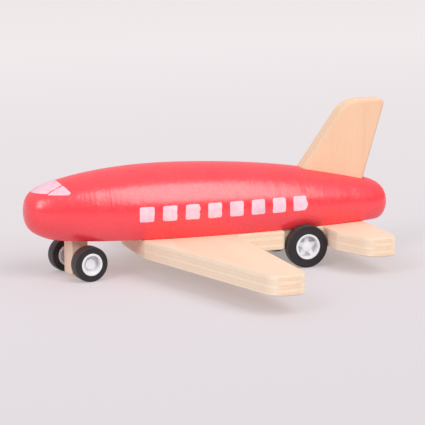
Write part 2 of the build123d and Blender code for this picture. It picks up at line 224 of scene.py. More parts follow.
class Paint:
    """A Principled material and short ways to add nodes to it."""

    def __init__(self, name, color, roughness, **sockets):
        self.material = bpy.data.materials.new(name)
        self.material.use_nodes = True
        self.tree = self.material.node_tree
        self.shader = self.tree.nodes["Principled BSDF"]
        self.set("Base Color", (*color, 1.0))
        self.set("Roughness", roughness)
        for label, value in sockets.items():
            self.set(label.replace("_", " "), value)
        self.coordinates = self.node("ShaderNodeTexCoord").outputs["Object"]

    def set(self, label, value):
        """Sets a shader socket's own value."""
        self.shader.inputs[label].default_value = value

    def node(self, kind, **settings):
        """A new node with its settings."""
        made = self.tree.nodes.new(kind)
        for label, value in settings.items():
            setattr(made, label, value)
        return made

    def link(self, output, socket):
        self.tree.links.new(output, socket)

    def use(self, output, label):
        """Feeds an output into a shader socket."""
        self.link(output, self.shader.inputs[label])

    def math(self, operation, a, b=0.0, c=0.0, clamp=False):
        """One sum; each term is a number or another node's output."""
        made = self.node("ShaderNodeMath", operation=operation, use_clamp=clamp)
        for socket, value in zip(made.inputs, (a, b, c)):
            if isinstance(value, (int, float)):
                socket.default_value = value
            else:
                self.link(value, socket)
        return made.outputs[0]

    def stretched(self, scale, offset=(0, 0, 0)):
        """Object coordinates stretched by a scale for each axis."""
        mapping = self.node("ShaderNodeMapping")
        mapping.inputs["Scale"].default_value = scale
        mapping.inputs["Location"].default_value = offset
        self.link(self.coordinates, mapping.inputs["Vector"])
        return mapping.outputs["Vector"]

    def noise(self, scale, detail=3.0, roughness=0.5, distortion=0.0, offset=(0, 0, 0)):
        """Noise from 0 to 1; scale is one number, or one for each axis."""
        made = self.node("ShaderNodeTexNoise")
        made.inputs["Scale"].default_value = 1.0
        made.inputs["Detail"].default_value = detail
        made.inputs["Roughness"].default_value = roughness
        made.inputs["Distortion"].default_value = distortion
        scale = scale if isinstance(scale, tuple) else (scale, scale, scale)
        self.link(self.stretched(scale, offset), made.inputs["Vector"])
        return made.outputs["Fac"]

    def ramp(self, value, stops):
        """Colour ramp; stops are (position, colour or grey)."""
        made = self.node("ShaderNodeValToRGB")
        band = made.color_ramp
        while len(band.elements) < len(stops):
            band.elements.new(1.0)
        for element, (position, color) in zip(band.elements, stops):
            element.position = position
            grey = isinstance(color, (int, float))
            element.color = (color, color, color, 1.0) if grey else (*color, 1.0)
        self.link(value, made.inputs["Fac"])
        return made.outputs["Color"]

    def mix(self, factor, a, b, blend="MIX"):
        """Two colours blended; each term is a number, a colour or an output."""
        made = self.node("ShaderNodeMix", data_type="RGBA", blend_type=blend)
        for socket, value in ((made.inputs[0], factor), (made.inputs[6], a), (made.inputs[7], b)):
            if isinstance(value, (int, float)):
                socket.default_value = value
            elif isinstance(value, tuple):
                socket.default_value = (*value, 1.0)
            else:
                self.link(value, socket)
        return made.outputs[2]

    def axis(self, name, source=None):
        """One component of the object coordinates, or of another vector."""
        split = self.node("ShaderNodeSeparateXYZ")
        self.link(source or self.coordinates, split.inputs[0])
        return split.outputs[name]

    def normals(self):
        """The surface's direction in the object's own axes."""
        return self.node("ShaderNodeTexCoord").outputs["Normal"]

    def bump(self, height, distance, strength=1.0, below=None):
        """Small relief, which can lie on top of another one."""
        made = self.node("ShaderNodeBump")
        made.inputs["Distance"].default_value = distance
        made.inputs["Strength"].default_value = strength
        self.link(height, made.inputs["Height"])
        if below is not None:
            self.link(below, made.inputs["Normal"])
        return made.outputs["Normal"]


# --- Materials -------------------------------------------------------------------------

WHITE = (1.0, 1.0, 1.0)
KNOT_REACH = 0.0018
PLY_JOINTS = (0.17, 0.37, 0.56, 0.78)
GLUE_HALF_WIDTH = 0.025
# pale ply, tan ply and glue on the sawn edges, and on those that run along the body, which are darker:
# their swapped bands follow the grain, their darker tone is painted shade on edges that face sideways
EDGE_PLIES = ((0.98, 0.82, 0.65), (0.95, 0.765, 0.59), (0.88, 0.69, 0.51))
SHADED_LONG_EDGE_PLIES = ((0.92, 0.715, 0.53), (0.875, 0.655, 0.475), (0.81, 0.58, 0.405))


def red_paint():
    """Satin red over turned wood: cloudy colour, faint lathe rings and orange peel."""
    paint = Paint("red_satin_paint", (0.95, 0.06, 0.07), 0.25, Specular_IOR_Level=1.0)
    cloud = paint.noise(38.0, detail=2.0)
    color = paint.ramp(cloud, ((0.3, (0.95, 0.036, 0.055)), (0.7, (0.99, 0.050, 0.070))))
    paint.use(color, "Base Color")
    rings = paint.noise((900.0, 6.0, 6.0), detail=2.0)
    slow_rings = paint.noise((190.0, 3.0, 3.0), detail=1.0)
    peel = paint.noise(650.0, detail=2.0)
    normal = paint.bump(slow_rings, 0.00014)
    normal = paint.bump(rings, 0.00007, below=normal)
    normal = paint.bump(peel, 0.00006, below=normal)
    paint.use(normal, "Normal")
    facing = paint.node("ShaderNodeLayerWeight").outputs["Facing"]
    paint.use(paint.ramp(facing, ((0.5, 1.0), (0.95, 0.35))), "Specular IOR Level")
    haze = paint.noise(420.0, detail=3.0, roughness=0.6)
    paint.use(paint.ramp(haze, ((0.3, 0.20), (0.7, 0.31))), "Roughness")
    return paint.material


def window_paint(name, tint):
    """Stencilled pale paint, thin enough for the red to tint it in places."""
    paint = Paint(name, (0.9, 0.66, 0.72), 0.5, Specular_IOR_Level=0.3)
    thin = paint.noise(420.0, detail=3.0, roughness=0.6)
    cloud = paint.noise(150.0, detail=1.0, offset=(3.0, 1.0, 5.0))
    tones = ((0.34, (0.90, 0.60, 0.68)), (0.52, (0.93, 0.69, 0.76)), (0.7, (0.95, 0.76, 0.81)))
    shade = paint.ramp(cloud, ((0.3, (0.94, 0.91, 0.95)), (0.7, WHITE)))
    color = paint.mix(1.0, paint.ramp(thin, tones), shade, "MULTIPLY")
    paint.use(paint.mix(1.0, color, tint, "MULTIPLY"), "Base Color")
    paint.use(paint.bump(thin, 0.00003), "Normal")
    return paint.material


def ply_stripes(paint, depth, pale, tan, glue, swapped=False):
    """Bands of the five plies on a sawn edge: the ones cut across their grain look darker,
    and they change places on the edges that run the other way."""
    first, second = (tan, pale) if swapped else (pale, tan)
    stops = [(0.0, first)]
    for i, joint_at in enumerate(PLY_JOINTS):
        before, after = (first, second) if i % 2 == 0 else (second, first)
        stops.append((joint_at - GLUE_HALF_WIDTH, before))
        stops.append((joint_at, glue))
        stops.append((joint_at + GLUE_HALF_WIDTH, after))
    stops.append((1.0, first))
    return paint.ramp(depth, stops)


def plywood(name, thickness_axis, low, high, grain_axis, tint, knot=None):
    """Five-ply birch: pale sanded faces with fine grain, striped edges."""
    paint = Paint(name, (0.85, 0.68, 0.5), 0.6, Specular_IOR_Level=0.3)
    axes = "XYZ"

    def scales(along, across, through):
        values = [across, across, across]
        values[axes.index(grain_axis)] = along
        values[axes.index(thickness_axis)] = through
        return tuple(values)

    # faces: broad figure, fine fibres, and short dark pores
    figure = paint.noise(scales(7.0, 55.0, 55.0), detail=2.0, distortion=0.6)
    fibre = paint.noise(scales(45.0, 1500.0, 1500.0), detail=3.0, roughness=0.6)
    pores = paint.noise(scales(90.0, 1300.0, 1300.0), detail=1.0, offset=(2.0, 7.0, 4.0))
    tones = ((0.28, (0.90, 0.655, 0.485)), (0.55, (0.93, 0.695, 0.525)), (0.8, (0.95, 0.73, 0.57)))
    fibres = paint.ramp(fibre, ((0.25, (0.93, 0.89, 0.84)), (0.6, WHITE)))
    face = paint.mix(0.5, paint.ramp(figure, tones), fibres, "MULTIPLY")
    pore_mask = paint.ramp(pores, ((0.66, 0.0), (0.74, 0.22)))
    face = paint.mix(pore_mask, face, (0.62, 0.40, 0.24))
    # edges: the plies, with wavy glue lines between them
    wave = paint.math("SUBTRACT", paint.noise(120.0, detail=2.0), 0.5)
    wobble = paint.math("MULTIPLY", wave, 0.05)
    depth = paint.math("DIVIDE", paint.math("SUBTRACT", paint.axis(thickness_axis), low), high - low)
    depth = paint.math("ADD", depth, wobble, clamp=True)
    plies = ply_stripes(paint, depth, *EDGE_PLIES)
    if thickness_axis == "Z":
        # painted shade: edges that face sideways get a darker copy of the plies, with the bands
        # swapped for the grain
        shaded_long_plies = ply_stripes(paint, depth, *SHADED_LONG_EDGE_PLIES, swapped=True)
        sideways = paint.math("ABSOLUTE", paint.axis("Y", paint.normals()))
        plies = paint.mix(paint.ramp(sideways, ((0.80, 0.0), (0.97, 1.0))), plies, shaded_long_plies)
    end_grain = paint.noise((600.0, 600.0, 1100.0), detail=3.0, roughness=0.7, offset=(1.0, 2.0, 3.0))
    speckle = paint.ramp(end_grain, ((0.3, (0.86, 0.80, 0.74)), (0.6, WHITE)))
    edge = paint.mix(0.35, plies, speckle, "MULTIPLY")

    # flatness is 1 on the faces and 0 on the edges; the rounding between them is painted a little
    # darker, painted shade that tones down the light it catches
    flatness = paint.math("ABSOLUTE", paint.axis(thickness_axis, paint.normals()))
    is_face = paint.ramp(flatness, ((0.80, 0.0), (0.97, 1.0)))
    wood = paint.mix(is_face, edge, face)
    arris_painted_shade = paint.ramp(flatness, ((0.15, 1.0), (0.4, 0.84), (0.88, 0.84), (0.99, 1.0)))
    wood = paint.mix(1.0, wood, arris_painted_shade, "MULTIPLY")
    if knot is not None:
        apart = paint.node("ShaderNodeVectorMath", operation="DISTANCE")
        paint.link(paint.coordinates, apart.inputs[0])
        apart.inputs[1].default_value = knot
        reach = paint.math("DIVIDE", apart.outputs["Value"], KNOT_REACH)
        wood = paint.mix(paint.ramp(reach, ((0.25, 0.55), (1.0, 0.0))), wood, (0.50, 0.30, 0.17))
    paint.use(paint.mix(1.0, wood, tint, "MULTIPLY"), "Base Color")

    ridges = paint.mix(is_face, end_grain, fibre)
    paint.use(paint.bump(ridges, 0.00006, strength=0.8), "Normal")
    paint.use(paint.ramp(figure, ((0.2, 0.50), (0.8, 0.62))), "Roughness")
    return paint.material


def beech():
    """Solid leg: straight upright grain with ray flecks."""
    paint = Paint("sanded_beech", (0.82, 0.58, 0.42), 0.58, Specular_IOR_Level=0.3)
    bands = paint.noise((420.0, 420.0, 14.0), detail=2.0, distortion=0.4)
    fibre = paint.noise((1800.0, 1800.0, 70.0), detail=3.0)
    flecks = paint.noise((900.0, 900.0, 260.0), detail=1.0, offset=(4.0, 1.0, 2.0))
    tones = ((0.3, (0.90, 0.65, 0.49)), (0.6, (0.95, 0.75, 0.59)), (0.8, (0.97, 0.79, 0.63)))
    fibres = paint.ramp(fibre, ((0.3, (0.88, 0.84, 0.80)), (0.6, WHITE)))
    color = paint.mix(0.5, paint.ramp(bands, tones), fibres, "MULTIPLY")
    color = paint.mix(paint.ramp(flecks, ((0.66, 0.0), (0.76, 0.4))), color, (0.68, 0.44, 0.30))
    paint.use(color, "Base Color")
    paint.use(paint.bump(fibre, 0.00005), "Normal")
    paint.use(paint.ramp(bands, ((0.2, 0.5), (0.8, 0.64))), "Roughness")
    return paint.material


def rubber():
    """Black tyre rubber with a slight bloom; the tread is painted lighter than the walls, painted
    light where it faces the lamps.
    """
    paint = Paint("black_rubber", (0.02, 0.019, 0.02), 0.5, Specular_IOR_Level=0.4)
    bloom = paint.noise(260.0, detail=4.0, roughness=0.6)
    # painted light and shade: the walls darker, the tread that faces the lamps lighter
    wall = paint.ramp(bloom, ((0.3, (0.017, 0.0135, 0.0145)), (0.75, (0.027, 0.021, 0.023))))
    tread = paint.ramp(bloom, ((0.3, (0.040, 0.032, 0.031)), (0.75, (0.075, 0.062, 0.059))))
    sideways = paint.math("ABSOLUTE", paint.axis("Y", paint.normals()))
    paint.use(paint.mix(paint.ramp(sideways, ((0.35, 0.0), (0.8, 1.0))), tread, wall), "Base Color")
    paint.use(paint.ramp(bloom, ((0.3, 0.42), (0.7, 0.58))), "Roughness")
    paint.use(paint.bump(paint.noise(2600.0, detail=2.0), 0.00003), "Normal")
    return paint.material


def moulded(name, dark, light, roughness, depth=0.00001):
    """Moulded plastic: slightly uneven tone and surface."""
    paint = Paint(name, light, roughness)
    tone = paint.noise(160.0, detail=2.0)
    paint.use(paint.ramp(tone, ((0.3, dark), (0.7, light))), "Base Color")
    paint.use(paint.bump(paint.noise(900.0, detail=2.0), depth), "Normal")
    paint.use(paint.ramp(tone, ((0.3, roughness - 0.06), (0.7, roughness + 0.06))), "Roughness")
    return paint.material


def metal(name, color, roughness, streak):
    """Drawn or turned steel; streak is the noise scale for each axis."""
    paint = Paint(name, color, roughness, Metallic=1.0)
    lines = paint.noise(streak, detail=3.0, roughness=0.6)
    dark = tuple(0.75 * c for c in color)
    paint.use(paint.ramp(lines, ((0.3, dark), (0.7, color))), "Base Color")
    paint.use(paint.ramp(lines, ((0.3, roughness + 0.08), (0.7, roughness - 0.06))), "Roughness")
    paint.use(paint.bump(lines, 0.00001), "Normal")
    return paint.material


plate_low, plate_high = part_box("wing_tail_plate")
fin_low, fin_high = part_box("tail_fin")
WING_KNOT = (0.0312, 0.0440, 0.0162)      # on the port wing's upper face

RED = red_paint()
WINDOW_PAINT = window_paint("window_pale_paint", (0.97, 0.93, 0.94))
SCREEN_PAINT = window_paint("windscreen_pale_paint", (0.92, 0.80, 0.83))
PLY_FLAT = plywood("plywood_plate", "Z", plate_low.z, plate_high.z, "Y", (1.0, 1.0, 1.0), WING_KNOT)
PLY_FIN = plywood("plywood_fin", "Y", fin_low.y, fin_high.y, "Z", (0.95, 0.835, 0.745))
BEECH = beech()
RUBBER = rubber()
WHITE_PLASTIC = moulded("white_plastic", (0.76, 0.762, 0.785), (0.84, 0.842, 0.87), 0.3)
GREY_PLASTIC = moulded("grey_plastic", (0.10, 0.105, 0.115), (0.13, 0.135, 0.145), 0.5, depth=0.00004)
ACETAL = moulded("natural_acetal", (0.72, 0.71, 0.66), (0.80, 0.79, 0.74), 0.35)
STEEL = metal("bright_steel", (0.62, 0.62, 0.63), 0.28, (1500.0, 40.0, 1500.0))
SCREW_STEEL = metal("zinc_plated_steel", (0.66, 0.67, 0.68), 0.33, (900.0, 900.0, 900.0))
SPRING_STEEL = metal("blued_spring_steel", (0.22, 0.26, 0.34), 0.35, (300.0, 2500.0, 300.0))

CAD_MATERIALS = {
    "wing_tail_plate": PLY_FLAT,
    "tail_fin": PLY_FIN,
    "nose_leg": BEECH,
    "nose_axle": STEEL,
    "rear_axle": STEEL,
    "idler_pin": STEEL,
    "spring_arbor": STEEL,
    "plate_screws": SCREW_STEEL,
    "motor_screws": SCREW_STEEL,
    "mainspring": SPRING_STEEL,
    "motor_case_port": GREY_PLASTIC,
    "motor_case_starboard": GREY_PLASTIC,
    "axle_pinion": ACETAL,
    "idler_gear": ACETAL,
    "spring_barrel": ACETAL,
}
for node_name, node_material in CAD_MATERIALS.items():
    node = frame["nodes"][node_name]
    node.data.materials.clear()
    node.data.materials.append(node_material)


# --- Fuselage --------------------------------------------------------------------------

NOSE_STEPS = 110
TAIL_STEPS = 130
SECTION_HALF = 110               # steps from the top of a section to its bottom
EDGE_STEPS = 16                  # of these, the steps over the belly's edge, and as many on its flat
EDGE_REACH = 2.2                 # mm round the section, each way from the edge, that count as the edge
EDGE_LEAST_RADIUS = 4.0          # smaller sections count as this big there
EDGE_LARGEST_SHARE = 0.6         # of the way from the edge to the bottom
EDGE_LAST_ANGLE = radians(166)
BELLY_STARTS = -0.05             # cosine of the angle below which the belly can cut a section


def section_angles(x, radius):
    """Angles from the top, closest together where the belly's edge is."""
    depth = belly_depth(x)
    corner = acos(-depth / radius) if radius > depth else pi
    corner = min(corner, EDGE_LAST_ANGLE)
    spread = min(EDGE_REACH / max(radius, EDGE_LEAST_RADIUS), (pi - corner) * EDGE_LARGEST_SHARE)
    upper = SECTION_HALF - 2 * EDGE_STEPS
    angles = [(corner - spread) * i / upper for i in range(upper)]
    angles += [corner - spread + 2 * spread * i / EDGE_STEPS for i in range(EDGE_STEPS)]
    start = corner + spread
    angles += [start + (pi - start) * i / EDGE_STEPS for i in range(EDGE_STEPS + 1)]
    return angles


def dent_depth(x, angle, radius):
    """How far the surface is pressed in."""
    depth = 0.0
    for dent_x, dent_angle, reach, deep in DENTS:
        away = sqrt((x - dent_x) ** 2 + (radius * (angle - radians(dent_angle))) ** 2)
        depth += deep * exp(-(away / reach) ** 2)
    return depth


def fuselage_mesh():
    """The turned body with its dents and its flat belly."""
    stations = profile_stations(NOSE_STEPS, TAIL_STEPS)
    count = 2 * SECTION_HALF
    vertices = [Vector((NOSE_X, 0, 0))]
    for x, radius in stations[1:-1]:
        depth = belly_depth(x)
        half = section_angles(x, radius)
        angles = half + [2 * pi - a for a in reversed(half[1:-1])]
        for angle in angles:
            reach = radius - dent_depth(x, angle, radius)
            if cos(angle) < BELLY_STARTS:
                reach = smooth_min(reach, -depth / cos(angle), ARRIS_BLEND)
            vertices.append(Vector((x, reach * sin(angle), reach * cos(angle))))
    vertices.append(Vector((TAIL_X, 0, 0)))
    rings = len(stations) - 2
    last = len(vertices) - 1
    base = 1 + (rings - 1) * count
    faces = [(0, 1 + i, 1 + (i + 1) % count) for i in range(count)]
    faces += [(a, d, c, b) for a, b, c, d in ring_faces(rings, count, first=1)]
    faces += [(last, base + (i + 1) % count, base + i) for i in range(count)]
    return [BODY_PLACE @ (v * MM) for v in vertices], faces


def box_mesh(low, high):
    """Corners and outward faces of a box, for cutting."""
    corners = []
    for x in (low[0], high[0]):
        for y in (low[1], high[1]):
            corners += [Vector((x, y, z)) for z in (low[2], high[2])]
    faces = [(0, 1, 3, 2), (4, 6, 7, 5), (0, 4, 5, 1), (2, 3, 7, 6), (0, 2, 6, 4), (1, 5, 7, 3)]
    return corners, faces


def post_mesh(centre, radius, low_z, high_z, sides=96):
    """Corners and outward faces of an upright round post, for cutting."""
    corners = []
    for z in (low_z, high_z):
        for i in range(sides):
            angle = 2 * pi * i / sides
            x = centre[0] + radius * cos(angle)
            y = centre[1] + radius * sin(angle)
            corners.append(Vector((x, y, z)))
    faces = ring_faces(2, sides)
    faces += [tuple(reversed(range(sides))), tuple(range(sides, 2 * sides))]
    return corners, faces


def cut(piece, cutter_mesh):
    """Removes a closed shape from a piece."""
    corners, faces = cutter_mesh
    mesh = bpy.data.meshes.new("cutter")
    mesh.from_pydata(corners, [], faces)
    cutter = bpy.data.objects.new("cutter", mesh)
    bpy.context.scene.collection.objects.link(cutter)
    modifier = piece.modifiers.new("cut", "BOOLEAN")
    modifier.operation = "DIFFERENCE"
    modifier.solver = "EXACT"
    modifier.object = cutter
    graph = bpy.context.evaluated_depsgraph_get()
    result = bpy.data.meshes.new_from_object(piece.evaluated_get(graph))
    piece.modifiers.clear()
    old = piece.data
    piece.data = result
    bpy.data.meshes.remove(old)
    bpy.data.objects.remove(cutter)
    bpy.data.meshes.remove(mesh)


vertices, faces = fuselage_mesh()
fuselage = new_piece("fuselage_body", vertices, faces, RED, "airframe", ["fuselage"])

# openings in the body (m): the fin's slot, the motor's recess and the nose leg's socket
SLOT_GAP = 0.0001
SLOT_FRONT_GAP = 0.0005
SLOT_BACK = -0.0761
ABOVE_BODY = 0.06
CASE_EAR = 0.006                 # the ears at the case's two ends stay below the body
SOCKET_RADIUS = 0.00306
SOCKET_TOP = 0.0272

slot_low = (SLOT_BACK, fin_low.y - SLOT_GAP, fin_low.z)
slot_high = (fin_high.x + SLOT_FRONT_GAP, fin_high.y + SLOT_GAP, ABOVE_BODY)
cut(fuselage, box_mesh(slot_low, slot_high))
case_low, case_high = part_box("motor_case_port")
recess_low = (case_low.x + CASE_EAR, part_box("motor_case_starboard")[0].y, 0.0)
recess_high = (case_high.x - CASE_EAR, case_high.y, case_high.z)
cut(fuselage, box_mesh(recess_low, recess_high))
cut(fuselage, post_mesh(joints["nose_steer"]["pos_m"], SOCKET_RADIUS, 0.0, SOCKET_TOP))
shade_by_angle(fuselage, 40)


# --- Painted windows -------------------------------------------------------------------

FILM_TOP = 0.05                  # mm above the red paint
FILM_BOTTOM = -0.12
FILM_EDGE_DROP = 0.03            # the film gets thinner towards its outline
FILM_RINGS = 10
FILM_POINTS = 96


def film_patch(place, squareness, quirk):
    """A thin closed film: place(u, v, lift) maps a square from -1 to 1 onto the body,
    quirk(angle) moves its outline in or out."""
    vertices = []
    for lift in (FILM_TOP, FILM_BOTTOM):
        vertices.append(place(0.0, 0.0, lift))
        for ring in range(1, FILM_RINGS + 1):
            scale = ring / FILM_RINGS
            drop = FILM_EDGE_DROP * scale ** 8 if lift > 0 else 0.0
            for i in range(FILM_POINTS):
                angle = 2 * pi * i / FILM_POINTS
                c, s = cos(angle), sin(angle)
                reach = (abs(c) ** squareness + abs(s) ** squareness) ** (-1 / squareness)
                reach *= scale * (1 + quirk(angle) * scale ** 3)
                vertices.append(place(reach * c, reach * s, lift - drop))
    per_side = 1 + FILM_RINGS * FILM_POINTS
    faces = []
    for is_bottom in (False, True):
        base = per_side if is_bottom else 0
        fan = [(base, base + 1 + i, base + 1 + (i + 1) % FILM_POINTS) for i in range(FILM_POINTS)]
        quads = ring_faces(FILM_RINGS, FILM_POINTS, first=base + 1)
        quads = [tuple(reversed(face)) for face in quads]
        faces += [tuple(reversed(face)) for face in fan + quads] if is_bottom else fan + quads
    rim = 1 + (FILM_RINGS - 1) * FILM_POINTS
    for i in range(FILM_POINTS):
        j = (i + 1) % FILM_POINTS
        faces.append((rim + i, per_side + rim + i, per_side + rim + j, rim + j))
    return vertices, faces


def join_films(films):
    """Several films as one mesh."""
    vertices, faces = [], []
    for film_vertices, film_faces in films:
        base = len(vertices)
        vertices += film_vertices
        faces += [tuple(base + i for i in face) for face in film_faces]
    return vertices, faces


WINDOW_COUNT = 8
WINDOW_FIRST_X = 37.48
WINDOW_PITCH = 10.68
WINDOW_HALF_WIDTH = 3.36
WINDOW_HALF_HEIGHT = 3.43
WINDOW_CENTRE_HEIGHT = 30.16
WINDOW_SQUARENESS = 9.0
# bumps and nicks of the stencil: window, angle, height as a share of its size, width (degrees)
WINDOW_BUMPS = (
    (0, 268, 0.04, 12),
    (1, 178, -0.05, 22),
    (2, 160, 0.08, 14),
    (2, 182, -0.10, 10),
    (3, 188, -0.07, 14),
    (4, 178, -0.05, 12),
    (5, 12, -0.05, 16),
    (6, 355, -0.04, 20),
    (7, 186, 0.26, 17),
    (7, 205, 0.10, 10),
)


def outline_quirk(index):
    """Gentle waviness and the hand-made bumps of one window."""
    bumps = [bump[1:] for bump in WINDOW_BUMPS if bump[0] == index]

    def quirk(angle):
        value = 0.010 * sin(3 * angle + 1.7 * index) + 0.008 * sin(5 * angle + 2.9 * index)
        value += 0.006 * sin(11 * angle + 0.7 * index)
        for centre, height, width in bumps:
            away = (angle - radians(centre) + pi) % (2 * pi) - pi
            value += height * exp(-(away / radians(width)) ** 2)
        return value

    return quirk


def window_place(centre_x, side):
    """Maps the unit square onto the body round one window."""
    def place(u, v, lift):
        x = centre_x + u * WINDOW_HALF_WIDTH
        radius = body_radius(x)
        middle = acos((WINDOW_CENTRE_HEIGHT - axis_height(x)) / radius)
        angle = middle - v * WINDOW_HALF_HEIGHT / radius
        return body_point(x, side * angle, lift)

    return place


def facing_out(film, side):
    """Keeps the faces pointing outwards on the side that is mirrored."""
    vertices, faces = film
    return film if side < 0 else (vertices, [tuple(reversed(face)) for face in faces])


for side_name, side in (("port", 1), ("starboard", -1)):
    films = []
    for i in range(WINDOW_COUNT):
        place = window_place(WINDOW_FIRST_X - i * WINDOW_PITCH, side)
        quirk = outline_quirk(i if side > 0 else i + WINDOW_COUNT)
        films.append(facing_out(film_patch(place, WINDOW_SQUARENESS, quirk), side))
    vertices, faces = join_films(films)
    new_piece(f"windows_{side_name}", vertices, faces, WINDOW_PAINT, "airframe",
              sharp_angle=60)


# windscreen: a wide front pane, a post on each side, and a three-cornered pane beside it
SCREEN_SILL = 40.05
SCREEN_HALF_SILL = 7.75
SCREEN_HALF_TOP = 6.4
SIDE_SILL = 39.6
SIDE_FRONT_SILL = 8.2
SIDE_FRONT_TOP = 6.85
SIDE_BACK = 11.5
SIDE_BACK_LEAN = 0.25
SCREEN_BACK_X = 74.5
SCREEN_BACK_BEND = 0.033         # 1/mm: how fast the rear edge runs back from the middle
PANE_SQUARENESS = 45.0


def screen_back_x(y):
    """The curved rear edge of the windscreen, seen from above."""
    return SCREEN_BACK_X - SCREEN_BACK_BEND * y * y


def height_at(x, y):
    """Height of the body's upper surface."""
    radius = body_radius(x)
    return axis_height(x) + sqrt(max(radius * radius - y * y, 0.0))


def nose_station(y, z):
    """Station along the axis where the nose's surface passes through (y, z)."""
    low, high = WIDEST_X, NOSE_X
    for _ in range(40):
        middle = (low + high) / 2
        if body_radius(middle) > sqrt(y * y + (z - axis_height(middle)) ** 2):
            low = middle
        else:
            high = middle
    return low


def pane_place(side, sill_y, top_y, sill):
    """Maps the unit square onto a pane: u runs outboard, v up and back."""
    def place(u, v, lift):
        a, b = (u + 1) / 2, (v + 1) / 2
        low_y = sill_y[0] + (sill_y[1] - sill_y[0]) * a
        high_y = top_y[0] + (top_y[1] - top_y[0]) * a
        high_z = height_at(screen_back_x(high_y), high_y)
        y = low_y + (high_y - low_y) * b
        z = sill + (high_z - sill) * b
        x = nose_station(y, z)
        return body_point(x, atan2(side * y, z - axis_height(x)), lift)

    return place


def pane_quirk(angle):
    """Gentle waviness of a pane's outline."""
    return 0.008 * sin(4 * angle + 0.8) + 0.006 * sin(7 * angle)


front_sill = (-SCREEN_HALF_SILL, SCREEN_HALF_SILL)
front_top = (-SCREEN_HALF_TOP, SCREEN_HALF_TOP)
front = pane_place(1, front_sill, front_top, SCREEN_SILL)
films = [facing_out(film_patch(front, PANE_SQUARENESS, pane_quirk), -1)]
side_sill = (SIDE_FRONT_SILL, SIDE_BACK)
side_top = (SIDE_FRONT_TOP, SIDE_BACK - SIDE_BACK_LEAN)
for side in (1, -1):
    beside = pane_place(side, side_sill, side_top, SIDE_SILL)
    films.append(facing_out(film_patch(beside, PANE_SQUARENESS, pane_quirk), -side))
vertices, faces = join_films(films)
new_piece("windscreen", vertices, faces, SCREEN_PAINT, "airframe", sharp_angle=60)


# --- Wheels ----------------------------------------------------------------------------

WHEEL_STEPS = 240
BORE_INSET = 0.15
BEAD_SHAPE = ((0.0, -0.02), (0.25, -0.12), (0.55, 0.0))    # out from its foot, in from the side
WALL_END = (0.6, 0.03)           # below the shoulder, in from the side
TREAD_CROWN = 0.05
TREAD_SHARES = (0.2, 0.4, 0.47)  # points across the half of the tread
MOULD_LINE_HEIGHT = 0.03
MOULD_LINE_HALF_WIDTH = 0.09

HUB_SIDE = (2.35, 2.85)          # radii between which the side of the rear rim's hub slopes
HUB_CROWN = (0.25, 2.6)          # height and radius of its domed top
BOSS_SIDE = (2.35, 2.7)          # the same for the front rim's boss
BOSS_CROWN = (0.12, 2.4)
STAR_ARMS = 5
ARM_HALF_WIDTH = 1.72            # at the axle; the arms get narrower outwards
ARM_TAPER = 0.16
ARM_SLOPE = 0.16
ARM_BELOW_HUB = 0.35

WELL_ROUND = 0.25
LIP_ROUND = 0.14
LIP_BACK = ((0.0, 0.32), (0.03, 0.35))    # its rear edge: in from the lip's radius, behind its face
LIP_WIDTH = 0.36
BEVEL = 0.1
BOSS_BEVEL = 0.12
WELL_DRAFT = 0.05
AXLE_GAP = 0.01


def fixed(radius, y):
    """A section that is the same all round."""
    return lambda angle: (radius, y)


def face_section(radius, height):
    """A section of a rim's outer face, where height(radius, angle) gives y."""
    return lambda angle: (radius, height(radius, angle))


def tyre_outline(outer, bore, inner_y, outer_y, shoulder, bead):
    """Smooth tyre: crowned tread with a mould line, round shoulders, a raised bead by the rim."""
    middle = (inner_y + outer_y) / 2
    tread = outer_y - inner_y - 2 * shoulder
    half = [(bore, inner_y + BORE_INSET)]
    half += [(bead + out, inner_y + inwards) for out, inwards in BEAD_SHAPE]
    half.append((outer - shoulder - WALL_END[0], inner_y + WALL_END[1]))
    half += arc_points((outer - TREAD_CROWN - shoulder, inner_y + shoulder), shoulder, -90, -6, 12)
    for share in TREAD_SHARES:
        drop = TREAD_CROWN * (1 - 2 * share) ** 2
        half.append((outer - drop, inner_y + shoulder + tread * share))
    half.append((outer, middle - MOULD_LINE_HALF_WIDTH))
    mirrored = [(radius, 2 * middle - y) for radius, y in reversed(half)]
    return half + [(outer + MOULD_LINE_HEIGHT, middle)] + mirrored


def ring_mesh(points, count):
    """A closed ring about the Y axis from a closed outline of (radius, y) points."""
    vertices = []
    for radius, y in points:
        vertices += ring_vertices(fixed(radius, y), count)
    faces = ring_faces(len(points), count)
    base = (len(points) - 1) * count
    for i in range(count):
        j = (i + 1) % count
        faces.append((base + i, base + j, j, i))
    return vertices, faces


def rear_face_height(dish, hub_top):
    """Height over the dish of the rear rim's star: a round hub and tapered arms."""
    turn = 2 * pi / STAR_ARMS
    arm_top = hub_top - ARM_BELOW_HUB

    def height(radius, angle):
        away = (angle - pi / 2 + turn / 2) % turn - turn / 2
        across = abs(radius * sin(away))
        half_width = ARM_HALF_WIDTH - ARM_TAPER * radius
        arm = 1 - smoothstep(half_width - ARM_SLOPE, half_width + ARM_SLOPE, across)
        hub = 1 - smoothstep(*HUB_SIDE, radius)
        crown = HUB_CROWN[0] * (1 - smoothstep(0.0, HUB_CROWN[1], radius))
        return max(dish + (hub_top - dish) * hub, dish + (arm_top - dish) * arm) + crown

    return height


def nose_face_height(dish, hub_top):
    """Height of the front rim's large round boss."""
    def height(radius, angle):
        boss = 1 - smoothstep(*BOSS_SIDE, radius)
        crown = BOSS_CROWN[0] * (1 - smoothstep(0.0, BOSS_CROWN[1], radius))
        return dish + (hub_top - dish) * boss + crown

    return height


